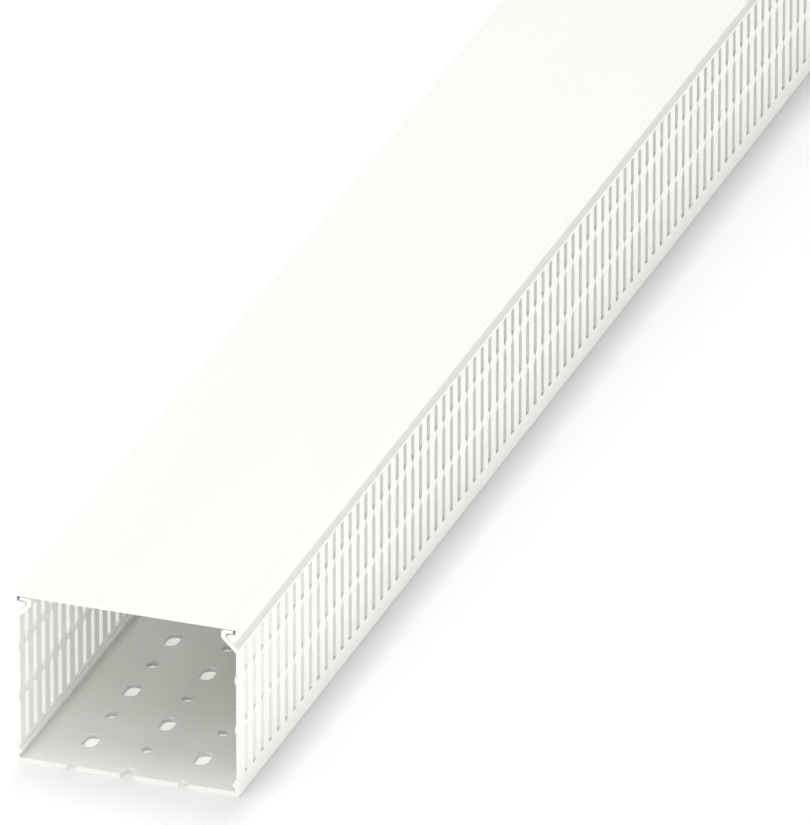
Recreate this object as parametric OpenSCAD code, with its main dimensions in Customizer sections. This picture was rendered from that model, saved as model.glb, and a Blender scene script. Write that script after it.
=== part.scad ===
// Slotted wiring duct: a U-shaped trough with slots punched in both side walls
// and holes punched in the base, closed by a clip-on cover whose hooks grip the
// trough's rims.
//
// Frame: X across the duct, Y along it, Z up. The origin is in the middle of the
// mounting face, and the end cuts lie at minus and plus half the length.

/* [Duct] */
// Outer width across the two side walls
duct_w = 100; // [80:1:150]
// Overall height, from the mounting face to the top of the cover
overall_h = 80; // [75:1:100]
// Length of the stock piece
duct_l = 1000; // [250:250:1000]
// Thickness of the side walls and of the shoulders above them
wall_t = 1.8; // [1.6:0.1:2]
// Thickness of the base
base_t = 2.4; // [2:0.1:3]
// Radius of the bead along the foot of each wall's inner face
bead_r = 1.2; // [0.8:0.1:1.5]
// Height of that bead's middle above the base
bead_up = 3; // [2:0.1:4]

/* [Side slots] */
// Distance from one slot to the next
slot_pitch = 10; // [8:0.5:12.5]
// Width of a slot
slot_w = 4.2; // [4:0.1:6]
// Height of a slot's lower end above the mounting face
slot_foot = 8; // [7:0.5:12]
// Distance from a slot's upper end up to the bend of the shoulder
slot_head = 0.8; // [0.8:0.1:4]
// Slot width left at the waists, where a finger snaps off
waist_w = 1.2; // [0.8:0.1:2.5]
// Height of a waist's narrowest part; its flanks open at 45 degrees
waist_flat = 2.3; // [0.4:0.1:3]
// Height of the lower waist's middle above the slot's lower end
lower_waist_up = 23; // [16:0.2:26]
// Distance from the lower waist's middle to the upper one's
waist_step = 23.1; // [18:0.1:24]

/* [Base holes] */
// Distance from one column of holes to the next, along the duct
hole_pitch = 25; // [20:1:30]
// Distance from one row of holes to the next, across the duct
row_pitch = 25; // [20:1:28]
// Width of the large slotted holes
large_hole_w = 6.5; // [5:0.1:8]
// Length of the large slotted holes, along the duct
large_hole_l = 12.5; // [9:0.5:14]
// Width of the small slotted holes
small_hole_w = 4.5; // [3.5:0.1:5]
// Length of the small slotted holes, along the duct
small_hole_l = 6.5; // [5.5:0.5:8]

/* [Rim] */
// How far the 45 degree shoulder carries the wall inwards, to the rim's neck
shoulder_in = 5.8; // [5.4:0.1:6.2]
// Height of the rim's top flat above the shoulder's end
lip_rise = 3.4; // [3.2:0.1:3.6]
// Thickness of the upright neck between the shoulder and the lip
neck_t = 2; // [1.8:0.1:2.2]
// Radius of the rim's inner edge, where the neck turns into the lip
lip_edge_r = 1.3; // [0.8:0.1:1.3]
// Thickness of the lip, on which the cover lies
lip_t = 1.4; // [1.2:0.1:1.5]
// How far the lip reaches out from the neck
lip_reach = 3.2; // [2.8:0.1:3.4]
// Radius of the hollow between the neck and the lip
hollow_r = 1.7; // [1.6:0.1:1.8]

/* [Cover] */
// Thickness of the cover plate
cover_t = 1.8; // [1.6:0.1:2.4]
// Thickness of the cover's legs
leg_t = 1.2; // [1:0.1:1.4]
// Depth of the legs' rounded lower edges below the cover plate
leg_drop = 4.8; // [4.6:0.1:5]
// Radius of those edges
leg_edge_r = 1.2; // [0.8:0.1:1.3]
// Angle below level at which a hook's outer flank leaves its leg
hook_flank = 39; // [35:1:45]
// Clearance between a hook's rounded back and the hollow under the lip
hook_gap = 0.5; // [0.3:0.1:0.6]
// Radius of the cover's upper edges
cover_edge_r = 0.8; // [0.4:0.1:1.2]
// Clearance between the cover and the rest of the rim
cover_gap = 0.3; // [0.2:0.05:0.4]

/* [Hidden] */
$fn = 48;
// How far a cut or a seam runs past the face that it meets.
past = 1;
plastic = [0.93, 0.94, 0.90];

half_w = duct_w / 2;
near_end = -duct_l / 2;
cover_under = overall_h - cover_t;
rim_top = cover_under - cover_gap;

// Middle line of the wall and its shoulder: the bend, then the shoulder's end.
bend = [half_w - wall_t / 2, rim_top - lip_rise - shoulder_in];
nose = bend + [-shoulder_in, shoulder_in];
neck_in = nose.x - wall_t / 2;
neck_out = neck_in + neck_t;
hollow = [neck_out + hollow_r, rim_top - lip_t - hollow_r];

slot_top = bend.y - slot_head;
slot_len = slot_top - slot_foot;
waist_len = waist_flat + slot_w - waist_w;
waists = [lower_waist_up, lower_waist_up + waist_step];
slot_count = floor(duct_l / slot_pitch);
column_count = floor(duct_l / hole_pitch);

// The hooks' inner faces lie along the shoulders, on which X plus Z is constant.
shoulder_sum = bend.x + bend.y + wall_t / 2 * sqrt(2);
hook_sum = shoulder_sum + cover_gap * sqrt(2);
back_r = hollow_r - hook_gap;
hook_tip = hollow.x - back_r;

// A hook's outer flank, from the round of the leg's lower edge to its foot.
leg_in = half_w - leg_t;
leg_end = [half_w - leg_edge_r, cover_under - leg_drop + leg_edge_r];
flank_top = leg_end + leg_edge_r * [sin(hook_flank), -cos(hook_flank)];
flank_l = (flank_top.x + flank_top.y - hook_sum) / (cos(hook_flank) + sin(hook_flank));
hook_foot = flank_top - flank_l * [cos(hook_flank), sin(hook_flank)];

// The shape and its mirror image in the duct's middle plane.
module both_sides() {
    children();
    mirror([1, 0, 0])
        children();
}

// Carries a section drawn in X and Z along the whole duct.
module along_duct() {
    rotate([90, 0, 0])
        linear_extrude(duct_l, center = true)
            children();
}

// A round-ended hole, long along the duct.
module base_hole(w, l) {
    reach = (l - w) / 2;
    for (end = [-1, 1])
        translate([0, end * reach])
            circle(w / 2);
    translate([-w / 2, -reach])
        square([w, 2 * reach]);
}

// The base, with three rows of holes, large and small by turns both ways. The
// end cuts run through the first and last column.
module base_plate() {
    linear_extrude(base_t)
        difference() {
            square([duct_w, duct_l], center = true);
            for (column = [0 : column_count], row = [-1 : 1])
                translate([row * row_pitch, near_end + column * hole_pitch])
                    if ((column + row) % 2 == 0)
                        base_hole(large_hole_w, large_hole_l);
                    else
                        base_hole(small_hole_w, small_hole_l);
        }
}

// One edge of a side slot, from its lower end up, pinched by the two waists.
function slot_edge(side) = [
    [side * slot_w / 2, 0],
    for (middle = waists)
        each [
            [side * slot_w / 2, middle - waist_len / 2],
            [side * waist_w / 2, middle - waist_flat / 2],
            [side * waist_w / 2, middle + waist_flat / 2],
            [side * slot_w / 2, middle + waist_len / 2]
        ],
    [side * slot_w / 2, slot_len + past]
];

function reversed(list) = [for (i = [len(list) - 1 : -1 : 0]) list[i]];

// A side wall up to its slots' upper ends: a foot strip and a comb of fingers.
// The end cuts run through the middle of the first and last slot.
module side_wall() {
    translate([half_w - wall_t, near_end, 0])
        rotate([90, 0, 90])
            linear_extrude(wall_t)
                difference() {
                    square([duct_l, slot_top]);
                    for (slot = [0 : slot_count])
                        translate([slot * slot_pitch, slot_foot])
                            polygon([
                                each slot_edge(1),
                                each reversed(slot_edge(-1))
                            ]);
                }
}

// What rounding a square corner to radius r takes away, from the arc's centre.
module corner_cut(r) {
    difference() {
        square(r + past);
        circle(r);
    }
}

// The rim's section, above the slots: the wall bends into a shoulder that runs
// in to an upright neck, from which a lip reaches back out under the cover.
module rim_section() {
    translate([half_w - wall_t, slot_top])
        square([wall_t, slot_head]);
    intersection() {
        translate(bend)
            circle(wall_t / 2);
        translate([half_w - wall_t, bend.y])
            square(wall_t);
    }
    translate(bend)
        rotate(135)
            translate([0, -wall_t / 2])
                square([norm(nose - bend), wall_t]);
    translate(nose)
        circle(wall_t / 2);
    difference() {
        translate([neck_in, nose.y])
            square([neck_t + lip_reach, lip_rise]);
        translate([neck_in + lip_edge_r, rim_top - lip_edge_r])
            rotate(90)
                corner_cut(lip_edge_r);
        translate([neck_out, nose.y - past])
            square([lip_reach + past, hollow.y - nose.y + past]);
        translate([hollow.x, nose.y])
            square([lip_reach, hollow.y + hollow_r - nose.y]);
        translate(hollow)
            circle(hollow_r);
    }
}

module duct() {
    color(plastic)
        union() {
            base_plate();
            both_sides() {
                side_wall();
                along_duct()
                    rim_section();
                along_duct()
                    translate([half_w - wall_t, base_t + bead_up])
                        circle(bead_r);
            }
        }
}

// A leg's section with its hook, whose back is rounded to nest under the lip and
// whose inner face lies along the shoulder.
module leg_section() {
    difference() {
        translate([leg_in, leg_end.y])
            square([leg_t, overall_h - leg_end.y]);
        translate([half_w - cover_edge_r, overall_h - cover_edge_r])
            corner_cut(cover_edge_r);
    }
    translate(leg_end)
        circle(leg_edge_r);
    intersection() {
        translate(hollow)
            circle(back_r);
        translate([hook_tip, hollow.y])
            square(back_r);
    }
    polygon([
        flank_top,
        hook_foot,
        [hook_tip, hook_sum - hook_tip],
        [hook_tip, hollow.y],
        [hollow.x, hollow.y + back_r],
        [leg_in + leg_t / 2, hollow.y + back_r],
        [leg_in + leg_t / 2, leg_end.y]
    ]);
}

module cover() {
    color(plastic)
        union() {
            translate([-leg_in - leg_t / 2, near_end, cover_under])
                cube([2 * leg_in + leg_t, duct_l, cover_t]);
            both_sides()
                along_duct()
                    leg_section();
        }
}

duct();
cover();
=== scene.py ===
# %% [markdown]
# # A slotted wiring duct, dressed for the studio
#
# The object is a metre of rigid PVC wiring duct with its clip-on cover. The real
# one is made in two steps: a soft plastic section is pushed through a die and
# cooled, and then the slots and screw holes are punched out of it. The meshes
# below are made in the same two steps, because that gives the same crisp slots
# and the same smooth rims.
#
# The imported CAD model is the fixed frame. It gives the duct's width, height and
# length, and its two bodies carry the two pieces that are made here.

import math

import bpy
import numpy as np
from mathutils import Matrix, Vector


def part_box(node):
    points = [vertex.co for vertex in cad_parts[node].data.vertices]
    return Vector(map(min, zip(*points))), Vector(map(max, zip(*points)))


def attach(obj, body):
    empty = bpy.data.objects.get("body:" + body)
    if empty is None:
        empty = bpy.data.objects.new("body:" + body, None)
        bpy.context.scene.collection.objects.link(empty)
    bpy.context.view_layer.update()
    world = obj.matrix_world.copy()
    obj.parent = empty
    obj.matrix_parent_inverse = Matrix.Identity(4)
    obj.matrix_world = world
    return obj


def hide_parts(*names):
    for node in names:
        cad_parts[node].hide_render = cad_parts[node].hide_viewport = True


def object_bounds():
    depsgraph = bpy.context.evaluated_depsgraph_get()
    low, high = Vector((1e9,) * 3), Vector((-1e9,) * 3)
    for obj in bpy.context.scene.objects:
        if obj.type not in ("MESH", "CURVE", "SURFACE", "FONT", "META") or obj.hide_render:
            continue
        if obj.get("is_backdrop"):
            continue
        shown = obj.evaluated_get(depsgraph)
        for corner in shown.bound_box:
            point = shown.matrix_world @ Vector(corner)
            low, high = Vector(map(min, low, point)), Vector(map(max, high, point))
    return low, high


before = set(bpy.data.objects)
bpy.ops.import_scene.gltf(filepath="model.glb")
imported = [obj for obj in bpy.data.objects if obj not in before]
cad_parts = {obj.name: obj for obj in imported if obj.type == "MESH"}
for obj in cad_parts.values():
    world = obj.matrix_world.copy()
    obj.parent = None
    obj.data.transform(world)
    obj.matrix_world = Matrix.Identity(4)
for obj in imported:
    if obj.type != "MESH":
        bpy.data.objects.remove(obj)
cad_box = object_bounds()
scene = bpy.context.scene
scene.view_settings.view_transform = "Standard"
print("CAD box in metres:", [tuple(round(value, 4) for value in corner) for corner in cad_box])

# %% [markdown]
# ## Sizes
#
# The overall sizes are read from the frame. The others are the duct's own wall,
# slot and rim sizes. All of them are written in millimetres, which are easier to
# read, and a mesh is scaled to metres when it is made.

# %% The sizes that drive the two sections
MM = 0.001

duct_low, duct_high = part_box("duct")
cover_low, cover_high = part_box("cover")
DUCT_W = (duct_high.x - duct_low.x) / MM
DUCT_L = (duct_high.y - duct_low.y) / MM
OVERALL_H = cover_high.z / MM
NEAR_END = duct_low.y / MM
HALF_W = DUCT_W / 2

WALL = 1.8
BASE = 2.4
BEAD_R = 1.2
BEAD_UP = 3.0
COVER_T = 1.8
COVER_GAP = 0.3
COVER_UNDER = OVERALL_H - COVER_T
RIM_TOP = COVER_UNDER - COVER_GAP
print(f"duct {DUCT_W:.1f} mm wide, {DUCT_L:.1f} mm long, {OVERALL_H:.1f} mm high with its cover")

# %% [markdown]
# ## Drawing a section
#
# A section is a closed line through points in X and Z. Its rounded corners are
# arcs, and an arc is worked out as a whole array: the centre plus the radius
# times the cosine and sine of evenly spaced angles. Stacking straight points and
# arcs in order gives the outline, anticlockwise, so that faces point outwards.

# %% Arcs and mirrored outlines
ARC_STEP = 9.0
SAME_POINT = 1e-6


def arc(centre, radius, start, end):
    """Points on a circle, from angle start to angle end in degrees.

    Each point is centre + radius * (cos a, sin a), at most ARC_STEP degrees from the next.
    """
    count = max(2, int(math.ceil(abs(end - start) / ARC_STEP)) + 1)
    angle = np.radians(np.linspace(start, end, count))
    across = centre[0] + radius * np.cos(angle)
    up = centre[1] + radius * np.sin(angle)
    return np.column_stack([across, up])


def with_mirror(half):
    """A whole outline: its right half, then the mirror image (-x, z) in reverse order.

    A point closer than SAME_POINT to the one before it is left out.
    """
    points = np.vstack([half, half[::-1] * [-1, 1]])
    gap = np.linalg.norm(points - np.roll(points, 1, axis=0), axis=1)
    return points[gap > SAME_POINT]


# %% [markdown]
# ## The trough's section
#
# From the base, the wall stands upright past a small bead that stiffens its foot.
# Above the slots it bends inwards as a 45 degree shoulder, turns upright again as
# the rim's neck, and ends in a lip that reaches back out. The cover's hook sits
# in the hollow under that lip, so the hollow is an arc with a radius of its own.

# %% The rim's sizes
SHOULDER_IN = 5.8
LIP_RISE = 3.4
NECK = 2.0
LIP_EDGE_R = 1.3
LIP = 1.4
LIP_REACH = 3.2
HOLLOW_R = 1.7
DIAGONAL = math.sqrt(0.5)

bend = np.array([HALF_W - WALL / 2, RIM_TOP - LIP_RISE - SHOULDER_IN])
nose = bend + [-SHOULDER_IN, SHOULDER_IN]
neck_in = nose[0] - WALL / 2
neck_out = neck_in + NECK
hollow = np.array([neck_out + HOLLOW_R, RIM_TOP - LIP - HOLLOW_R])
print("middle of the hollow under the lip:", hollow.round(2))

# %% [markdown]
# Along the shoulder's 45 degree faces, x + z stays the same. One such sum places
# the outer face and another the inner one.

# %% The trough's outline
shoulder_sum = bend.sum() + WALL / 2 / DIAGONAL
inner_sum = bend.sum() - WALL / 2 / DIAGONAL


def trough_half():
    """The trough's right half: up the outer wall, round the rim and down to the floor."""
    wall_in = HALF_W - WALL
    return np.vstack([
        [[HALF_W, 0]],
        arc(bend, WALL / 2, 0, 45),
        [[neck_out, shoulder_sum - neck_out]],
        arc(hollow, HOLLOW_R, 180, 90),
        [[neck_out + LIP_REACH, RIM_TOP - LIP], [neck_out + LIP_REACH, RIM_TOP]],
        arc((neck_in + LIP_EDGE_R, RIM_TOP - LIP_EDGE_R), LIP_EDGE_R, 90, 180),
        arc(nose, WALL / 2, 180, 225),
        [[wall_in, inner_sum - wall_in]],
        arc((wall_in, BASE + BEAD_UP), BEAD_R, 90, 270),
        [[wall_in, BASE]],
    ])


trough = with_mirror(trough_half())
print("trough outline:", len(trough), "points")

# %% [markdown]
# ## The cover's section
#
# The cover is a flat plate with a leg along each side. Each leg ends in a hook.
# The hook's back is rounded to nest in the hollow under the lip, with a little
# play, and its inner face lies along the shoulder.

# %% The cover's sizes and outline
LEG = 1.2
LEG_DROP = 4.8
LEG_EDGE_R = 1.2
HOOK_FLANK = math.radians(39)
HOOK_GAP = 0.5
COVER_EDGE_R = 0.8

hook_sum = shoulder_sum + COVER_GAP / DIAGONAL
back_r = HOLLOW_R - HOOK_GAP
leg_in = HALF_W - LEG
leg_end = np.array([HALF_W - LEG_EDGE_R, COVER_UNDER - LEG_DROP + LEG_EDGE_R])
flank_run = np.array([math.cos(HOOK_FLANK), math.sin(HOOK_FLANK)])
flank_top = leg_end + LEG_EDGE_R * np.array([math.sin(HOOK_FLANK), -math.cos(HOOK_FLANK)])
flank = (flank_top.sum() - hook_sum) / flank_run.sum()
hook_foot = flank_top - flank * flank_run


def cover_half():
    """The cover's right half: down inside the leg, round the hook and up to the top's edge."""
    tip = hollow[0] - back_r
    return np.vstack([
        [[leg_in, COVER_UNDER], [leg_in, hollow[1] + back_r]],
        arc(hollow, back_r, 90, 180),
        [[tip, hook_sum - tip], hook_foot],
        arc(leg_end, LEG_EDGE_R, math.degrees(HOOK_FLANK) - 90, 0),
        arc((HALF_W - COVER_EDGE_R, OVERALL_H - COVER_EDGE_R), COVER_EDGE_R, 0, 90),
    ])


cover_outline = with_mirror(cover_half())
print("cover outline:", len(cover_outline), "points")

# %% [markdown]
# ## From outline to solid
#
# A prism is a grid: one direction runs round the outline, the other along the
# axis. `np.stack` places the same outline at both ends, and the side faces join
# point i to point i + 1 at the two ends. The ends are closed with one face each.

# %% Prisms along an axis
AXIS_X, AXIS_Y, AXIS_Z = range(3)


def prism(outline, axis, start, end):
    """Corners, side faces and end faces of a closed prism.

    A corner is an outline point with start or end put in as the coordinate along axis.
    """
    count = len(outline)
    ends = np.stack([np.insert(outline, axis, value, axis=1) for value in (start, end)])
    here = np.arange(count)
    there = (here + 1) % count
    sides = np.column_stack([here, there, there + count, here + count])
    return ends.reshape(-1, 3), sides, [here[::-1], here + count]


# %% Meshes and objects
def mesh_from(name, prisms):
    """One mesh from several prisms, scaled from millimetres to metres."""
    corners = []
    faces = []
    used = 0
    for points, sides, caps in prisms:
        corners.append(points)
        faces += [(face + used).tolist() for face in [*sides, *caps]]
        used += len(points)
    mesh = bpy.data.meshes.new(name)
    mesh.from_pydata((np.vstack(corners) * MM).tolist(), [], faces)
    mesh.validate()
    return mesh


def add_object(name, data):
    """An object at the origin, in the scene's own collection."""
    item = bpy.data.objects.new(name, data)
    scene.collection.objects.link(item)
    return item


# %% [markdown]
# ## Extruding the two sections
#
# Both sections run the whole length, along Y. They are drawn anticlockwise as seen
# from the near end, so they are carried from the far end to the near one, which
# leaves every face pointing outwards.

# %% The plain extrusions
FAR_END = NEAR_END + DUCT_L


def extrude(name, outline):
    """A piece with the outline as its section all the way along the duct."""
    return add_object(name, mesh_from(name, [prism(outline, AXIS_Y, FAR_END, NEAR_END)]))


trough_piece = extrude("duct_trough", trough)
cover_piece = extrude("duct_cover", cover_outline)
print("plain extrusions:", [piece.name for piece in (trough_piece, cover_piece)])

# %% [markdown]
# ## The punch for the side slots
#
# A slot is narrowed at two waists, where a finger snaps off. Its outline is an
# edge that runs up one side, and the same edge mirrored, running down. One punch
# goes right through both walls, as the real tool does, so 101 punches make all
# 202 slots. The first and last are cut through by the duct's ends.

# %% Slot punches
SLOT_PITCH = 10.0
SLOT_W = 4.2
SLOT_FOOT = 8.0
SLOT_HEAD = 0.8
WAIST_W = 1.2
WAIST_FLAT = 2.3
LOWER_WAIST = 23.0
WAIST_STEP = 23.1
PUNCH_OVER = 6.0

slot_top = bend[1] - SLOT_HEAD
slot_count = int(round(DUCT_L / SLOT_PITCH))


def slot_outline(middle_y):
    """Y and Z of one slot.

    At each waist the half width narrows and widens again over 45 degree flanks.
    """
    wide, narrow = SLOT_W / 2, WAIST_W / 2
    flat_reach = WAIST_FLAT / 2
    flank_reach = flat_reach + wide - narrow
    heights = [SLOT_FOOT]
    halves = [wide]
    for waist in (SLOT_FOOT + LOWER_WAIST, SLOT_FOOT + LOWER_WAIST + WAIST_STEP):
        heights += [waist - flank_reach, waist - flat_reach]
        heights += [waist + flat_reach, waist + flank_reach]
        halves += [wide, narrow, narrow, wide]
    heights.append(slot_top)
    halves.append(wide)
    up = np.column_stack([middle_y + np.array(halves), heights])
    down = np.column_stack([middle_y - np.array(halves), heights])[::-1]
    return np.vstack([up, down])


slot_middles = NEAR_END + SLOT_PITCH * np.arange(slot_count + 1)
punch_end = HALF_W + PUNCH_OVER
slot_prisms = [prism(slot_outline(y), AXIS_X, -punch_end, punch_end) for y in slot_middles]
print("side slots:", 2 * len(slot_prisms))

# %% [markdown]
# ## The punch for the base holes
#
# Three rows of round-ended holes run along the base, large and small by turns
# both ways. Each outline is two half circles, set apart along the duct.

# %% Hole punches
HOLE_PITCH = 25.0
ROW_PITCH = 25.0
LARGE_HOLE = (6.5, 12.5)
SMALL_HOLE = (4.5, 6.5)
ABOVE_BASE = 0.5
ROWS = (-1, 0, 1)

column_count = int(round(DUCT_L / HOLE_PITCH))


def hole_outline(x, y, width, length):
    """X and Y of a hole with round ends.

    The ends are half circles of radius width / 2, with their middles length - width apart.
    """
    reach = (length - width) / 2
    far = arc((x, y + reach), width / 2, 0, 180)
    near = arc((x, y - reach), width / 2, 180, 360)
    return np.vstack([far, near])


hole_prisms = []
for column in range(column_count + 1):
    for row in ROWS:
        width, length = LARGE_HOLE if (column + row) % 2 == 0 else SMALL_HOLE
        outline = hole_outline(row * ROW_PITCH, NEAR_END + column * HOLE_PITCH, width, length)
        hole_prisms.append(prism(outline, AXIS_Z, -PUNCH_OVER, BASE + ABOVE_BASE))
print("base holes and notches:", len(hole_prisms))

# %% [markdown]
# ## Punching, and easing the edges
#
# One Boolean takes all the punches out of the trough at once. A punch and a saw
# leave edges that are crisp but never quite sharp, and the thin bevel gives them
# the fine light line of a real edge. The weighted normals keep the flat faces flat
# in the shading, right up to the arcs and bevels beside them.

# %% Modifiers whose result is kept as a plain mesh
EDGE_EASE = 0.14
EASE_SEGMENTS = 2
SHARP = math.radians(35)


def keep_result(piece):
    """Replaces the piece's mesh by what its modifiers make of it, and drops the modifiers."""
    bpy.context.view_layer.update()
    worked_out = piece.evaluated_get(bpy.context.evaluated_depsgraph_get())
    mesh = bpy.data.meshes.new_from_object(worked_out)
    piece.modifiers.clear()
    piece.data = mesh


def punch(piece, tool):
    """Takes the tool's mesh out of the piece, and removes the tool."""
    cut = piece.modifiers.new("punch", "BOOLEAN")
    cut.operation = "DIFFERENCE"
    cut.solver = "EXACT"
    cut.object = tool
    keep_result(piece)
    bpy.data.objects.remove(tool)


def ease_edges(piece):
    """Bevels every edge sharper than SHARP by EDGE_EASE.

    Each corner's normal is the mean of its faces' normals, weighted by their areas.
    """
    ease = piece.modifiers.new("ease", "BEVEL")
    ease.width = EDGE_EASE * MM
    ease.segments = EASE_SEGMENTS
    ease.limit_method = "ANGLE"
    ease.angle_limit = SHARP
    ease.use_clamp_overlap = False
    piece.data.shade_smooth()
    weigh = piece.modifiers.new("weigh", "WEIGHTED_NORMAL")
    weigh.mode = "FACE_AREA"
    weigh.keep_sharp = True
    keep_result(piece)


# %% Punch the trough, then ease both pieces
punch(trough_piece, add_object("punches", mesh_from("punches", slot_prisms + hole_prisms)))
for piece in (trough_piece, cover_piece):
    ease_edges(piece)
    triangles = sum(len(face.vertices) - 2 for face in piece.data.polygons)
    print(f"{piece.name}: {len(piece.data.polygons)} faces, {triangles} triangles")

# %% [markdown]
# ## Handing the meshes to the frame
#
# Each new mesh rides on the body of the CAD node that it stands for, so that the
# cover still slides along the duct.

# %% Ride on the two bodies
for piece, node in ((trough_piece, "duct"), (cover_piece, "cover")):
    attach(piece, node)
    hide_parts(node)

# %% [markdown]
# ## Rigid PVC, straight from the die
#
# The plastic is an opaque, slightly warm white with a smooth, glossy skin. The die
# draws very fine lines along the extrusion, so the noise for them has many waves to
# the metre across the duct and few along it. The lines alter the gloss and the
# surface height a little. A much softer, larger noise keeps the white from being
# perfectly even.

# %% Node helpers for a material
NOISE_LOW, NOISE_HIGH = 0.25, 0.75


def new_material(name):
    """A node material, with its tree and its Principled shader."""
    material = bpy.data.materials.new(name)
    material.use_nodes = True
    tree = material.node_tree
    return material, tree, tree.nodes["Principled BSDF"]


def add_noise(tree, across, along, detail):
    """Noise in object space, with so many waves to the metre across and along the duct."""
    place = tree.nodes.new("ShaderNodeTexCoord")
    stretch = tree.nodes.new("ShaderNodeMapping")
    stretch.inputs["Scale"].default_value = (across, along, across)
    noise = tree.nodes.new("ShaderNodeTexNoise")
    noise.inputs["Scale"].default_value = 1.0
    noise.inputs["Detail"].default_value = detail
    tree.links.new(place.outputs["Object"], stretch.inputs["Vector"])
    tree.links.new(stretch.outputs["Vector"], noise.inputs["Vector"])
    return noise.outputs["Fac"]


def spread(tree, source, low, high):
    """The middle of a noise, NOISE_LOW to NOISE_HIGH, spread over low to high."""
    fit = tree.nodes.new("ShaderNodeMapRange")
    fit.inputs["From Min"].default_value = NOISE_LOW
    fit.inputs["From Max"].default_value = NOISE_HIGH
    fit.inputs["To Min"].default_value = low
    fit.inputs["To Max"].default_value = high
    tree.links.new(source, fit.inputs["Value"])
    return fit.outputs["Result"]


# %% [markdown]
# A Mix node holds a set of sockets for each kind of data, under the same names, so
# the colour ones are picked by number.

# %% The extruded plastic
DIE_LINES = {"across": 1400.0, "along": 4.0, "detail": 3.0}
CLOUDS = {"across": 14.0, "along": 3.0, "detail": 2.0}
ROUGHNESS = (0.05, 0.08)
RELIEF_STRENGTH = 0.03
RELIEF_DEPTH = 0.01
PVC_IOR = 1.55
MIX_FACTOR, MIX_A, MIX_B, MIX_RESULT = 0, 6, 7, 2


def pvc(name, light_tone, dark_tone):
    """Glossy white plastic.

    A soft noise mixes two close tones, and the die lines vary the gloss and the height.
    """
    material, tree, shader = new_material(name)
    die_lines = add_noise(tree, **DIE_LINES)
    clouds = add_noise(tree, **CLOUDS)

    tone = tree.nodes.new("ShaderNodeMix")
    tone.data_type = "RGBA"
    tone.inputs[MIX_A].default_value = (*dark_tone, 1)
    tone.inputs[MIX_B].default_value = (*light_tone, 1)
    tree.links.new(spread(tree, clouds, 0.0, 1.0), tone.inputs[MIX_FACTOR])
    tree.links.new(tone.outputs[MIX_RESULT], shader.inputs["Base Color"])

    tree.links.new(spread(tree, die_lines, *ROUGHNESS), shader.inputs["Roughness"])
    relief = tree.nodes.new("ShaderNodeBump")
    relief.inputs["Strength"].default_value = RELIEF_STRENGTH
    relief.inputs["Distance"].default_value = RELIEF_DEPTH * MM
    tree.links.new(die_lines, relief.inputs["Height"])
    tree.links.new(relief.outputs["Normal"], shader.inputs["Normal"])
    shader.inputs["IOR"].default_value = PVC_IOR
    return material


# %% One batch of plastic for each piece
BATCHES = (
    (trough_piece, "duct_pvc_look", (0.90, 0.91, 0.87), (0.88, 0.89, 0.85)),
    (cover_piece, "cover_pvc_look", (0.91, 0.92, 0.88), (0.89, 0.90, 0.86)),
)

for piece, look, light_tone, dark_tone in BATCHES:
    piece.data.materials.clear()
    piece.data.materials.append(pvc(look, light_tone, dark_tone))
    print(f"{piece.name}: {look}")

# %% [markdown]
# ## A pale studio floor
#
# The duct lies on a wide pale floor that takes its shadow. The floor glows a little
# for the rays that the camera and the plastic's gloss send out, which lifts it to
# white without pouring more light on the duct. Under the duct the floor has a painted
# glow, stronger for those rays only and no lamp, so that the base holes read as open holes on
# white.

# %% The floor's square
FLOOR_HALF = 6.0

corners = np.array([[-1, -1, 0], [1, -1, 0], [1, 1, 0], [-1, 1, 0]]) * FLOOR_HALF
floor_mesh = bpy.data.meshes.new("studio_floor")
floor_mesh.from_pydata(corners.tolist(), [], [(0, 1, 2, 3)])
floor = add_object("studio_floor", floor_mesh)
floor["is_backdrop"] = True
print(f"floor {2 * FLOOR_HALF:.0f} m square")

# %% Arithmetic in a node tree
def calculate(tree, operation, *values):
    """The result of one arithmetic node. Each value is a socket or a plain number."""
    node = tree.nodes.new("ShaderNodeMath")
    node.operation = operation
    for socket, value in zip(node.inputs, values):
        if isinstance(value, float):
            socket.default_value = value
        else:
            tree.links.new(value, socket)
    return node.outputs["Value"]


def either_ray(tree, first, second):
    """1 for a ray of either kind, else 0."""
    path = tree.nodes.new("ShaderNodeLightPath")
    return calculate(tree, "MAXIMUM", path.outputs[first], path.outputs[second])


def within(tree, socket, reach):
    """1 where the socket's value lies between -reach and reach, else 0."""
    return calculate(tree, "COMPARE", socket, 0.0, reach)


# %% [markdown]
# The painted glow under the duct ends a little inside the duct's foot, so that it
# doesn't show in the notches that the end cuts leave in the base.

# %% The floor's paint
FLOOR_GREY = 0.88
FLOOR_ROUGHNESS = 0.9
FLOOR_GLOW = 0.03
# Painted glow: the floor under the duct is brighter for camera and glossy rays, though it lights
# nothing.
PAINTED_GLOW_UNDER_DUCT = 0.38
FOOT_MARGIN = 8.0

paint, tree, shader = new_material("studio_floor_paint")
shader.inputs["Base Color"].default_value = (FLOOR_GREY, FLOOR_GREY, FLOOR_GREY, 1)
shader.inputs["Roughness"].default_value = FLOOR_ROUGHNESS
shader.inputs["Specular IOR Level"].default_value = 0.0
shader.inputs["Emission Color"].default_value = (1, 1, 1, 1)

place = tree.nodes.new("ShaderNodeTexCoord")
axes = tree.nodes.new("ShaderNodeSeparateXYZ")
tree.links.new(place.outputs["Object"], axes.inputs["Vector"])
under_x = within(tree, axes.outputs["X"], (HALF_W - FOOT_MARGIN) * MM)
under_y = within(tree, axes.outputs["Y"], (DUCT_L / 2 - FOOT_MARGIN) * MM)
under = calculate(tree, "MULTIPLY", under_x, under_y)
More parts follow.
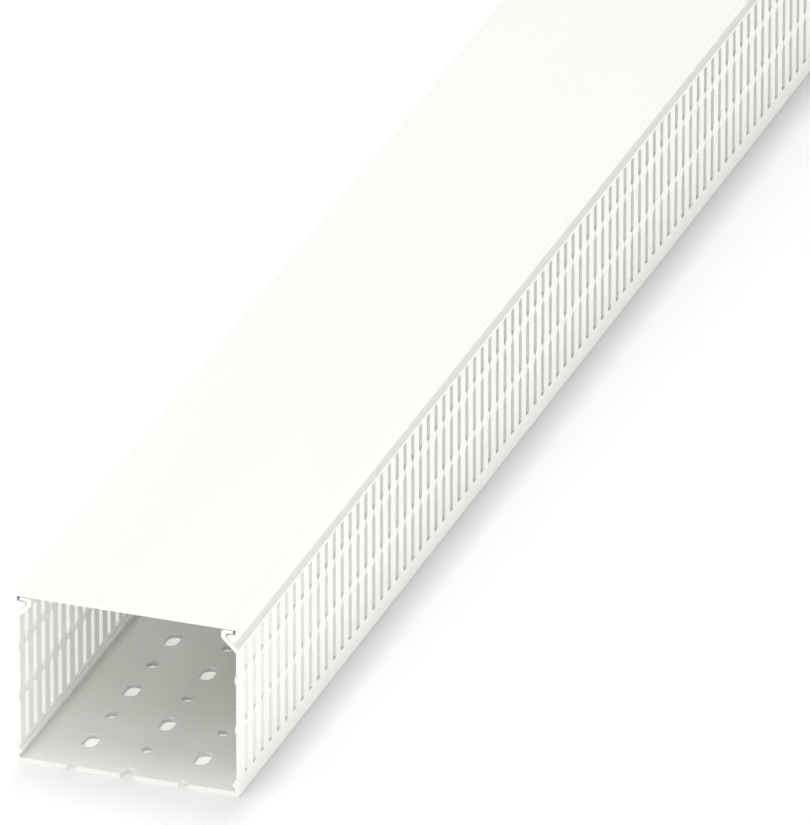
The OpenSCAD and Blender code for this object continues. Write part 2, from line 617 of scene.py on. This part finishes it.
# The painted glow under the duct is added to the even floor glow.
glow = calculate(tree, "ADD", calculate(tree, "MULTIPLY", under, PAINTED_GLOW_UNDER_DUCT), FLOOR_GLOW)
seen = either_ray(tree, "Is Camera Ray", "Is Glossy Ray")
seen_glow = calculate(tree, "MULTIPLY", glow, seen)
tree.links.new(seen_glow, shader.inputs["Emission Strength"])
floor_mesh.materials.append(paint)

# %% [markdown]
# ## Soft light from a white room
#
# A white world fills in from everywhere. It is dimmer for the light it gives than
# for what the camera sees of it.

# %% The world
WORLD_FILL = 0.31

world = bpy.data.worlds.new("studio")
world.use_nodes = True
scene.world = world
tree = world.node_tree
background = tree.nodes["Background"]
background.inputs["Color"].default_value = (1, 1, 1, 1)
white = tree.nodes.new("ShaderNodeMapRange")
white.inputs["To Min"].default_value = WORLD_FILL
white.inputs["To Max"].default_value = 1.0
seen = either_ray(tree, "Is Camera Ray", "Is Transmission Ray")
tree.links.new(seen, white.inputs["Value"])
tree.links.new(white.outputs["Result"], background.inputs["Strength"])
print(f"world: {WORLD_FILL} for the light it gives, 1 for the camera")

# %% [markdown]
# A narrow softbox hangs over the duct and a wide one to its left, so the wall's
# shadow is short and deepens towards its foot. One stands high before the near end.
# The others stand low, because a light that grazes the floor brightens a wall
# without washing out its shadow. The two beyond the front corners also light the
# cut faces of the slots, and the low one on the right lights the long outer wall.

# %% The softboxes
def softbox(name, place, target, size, watts):
    """A rectangular area light that faces its target."""
    light = bpy.data.lights.new(name, "AREA")
    light.shape = "RECTANGLE"
    light.size, light.size_y = size
    light.energy = watts
    lamp = add_object(name, light)
    lamp.location = place
    aim = Vector(target) - Vector(place)
    lamp.rotation_euler = aim.to_track_quat("-Z", "Y").to_euler()


softbox("overhead_softbox", place=(-0.2, 0, 2.6), target=(-0.2, 0, 0),
        size=(0.5, 3.0), watts=32)
softbox("left_overhead_softbox", place=(-1.22, 0, 2.6), target=(-0.2, 0, 0),
        size=(3.0, 3.0), watts=37)
softbox("front_high_softbox", place=(0.2, -2.4, 2.8), target=(0, -0.5, 0.02),
        size=(1.8, 1.0), watts=13)
softbox("front_low_softbox", place=(0.3, -3.6, 0.5), target=(0, -0.5, 0.04),
        size=(2.4, 0.7), watts=8.5)
softbox("left_front_softbox", place=(-2.3, -2.3, 0.6), target=(0, -0.3, 0.04),
        size=(3.0, 1.0), watts=25.5)
softbox("right_front_softbox", place=(2.6, -1.9, 0.3), target=(0, -0.1, 0.04),
        size=(2.6, 0.4), watts=26)
softbox("right_low_softbox", place=(3.0, 0.3, 0.22), target=(0, 0.1, 0.04),
        size=(2.6, 0.34), watts=22)

# %% [markdown]
# ## The camera
#
# A very long lens, far away and 26 degrees up, looks at the near end from its
# right. The slots then keep almost the same size all along the duct.

# %% The camera
SENSOR_WIDTH = 36
LENS = 913.1
SEEN_FROM, SEEN_TO = 1, 60
CAMERA_PLACE = (2.7159, -7.8433, 4.0194)
LOOK_DOWN = 26.172
TURN_LEFT = 19.441

camera_data = bpy.data.cameras.new("camera")
camera_data.sensor_width = SENSOR_WIDTH
camera_data.lens = LENS
camera_data.clip_start = SEEN_FROM
camera_data.clip_end = SEEN_TO
camera = add_object("camera", camera_data)
camera.location = CAMERA_PLACE
camera.rotation_euler = (math.radians(90 - LOOK_DOWN), 0, math.radians(TURN_LEFT))
scene.camera = camera
print(f"camera {Vector(CAMERA_PLACE).length:.1f} m from the origin")

# %% [markdown]
# ## Closing the frame
#
# The box of what is shown is printed beside the box of the CAD model. The box of what
# is shown must lie inside the box of the CAD model.

# %% The CAD box and the visual box, in millimetres
visual_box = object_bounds()
for name, box in (("CAD", cad_box), ("visual", visual_box)):
    print(f"{name} box in mm:", [[round(value / MM, 2) for value in corner] for corner in box])
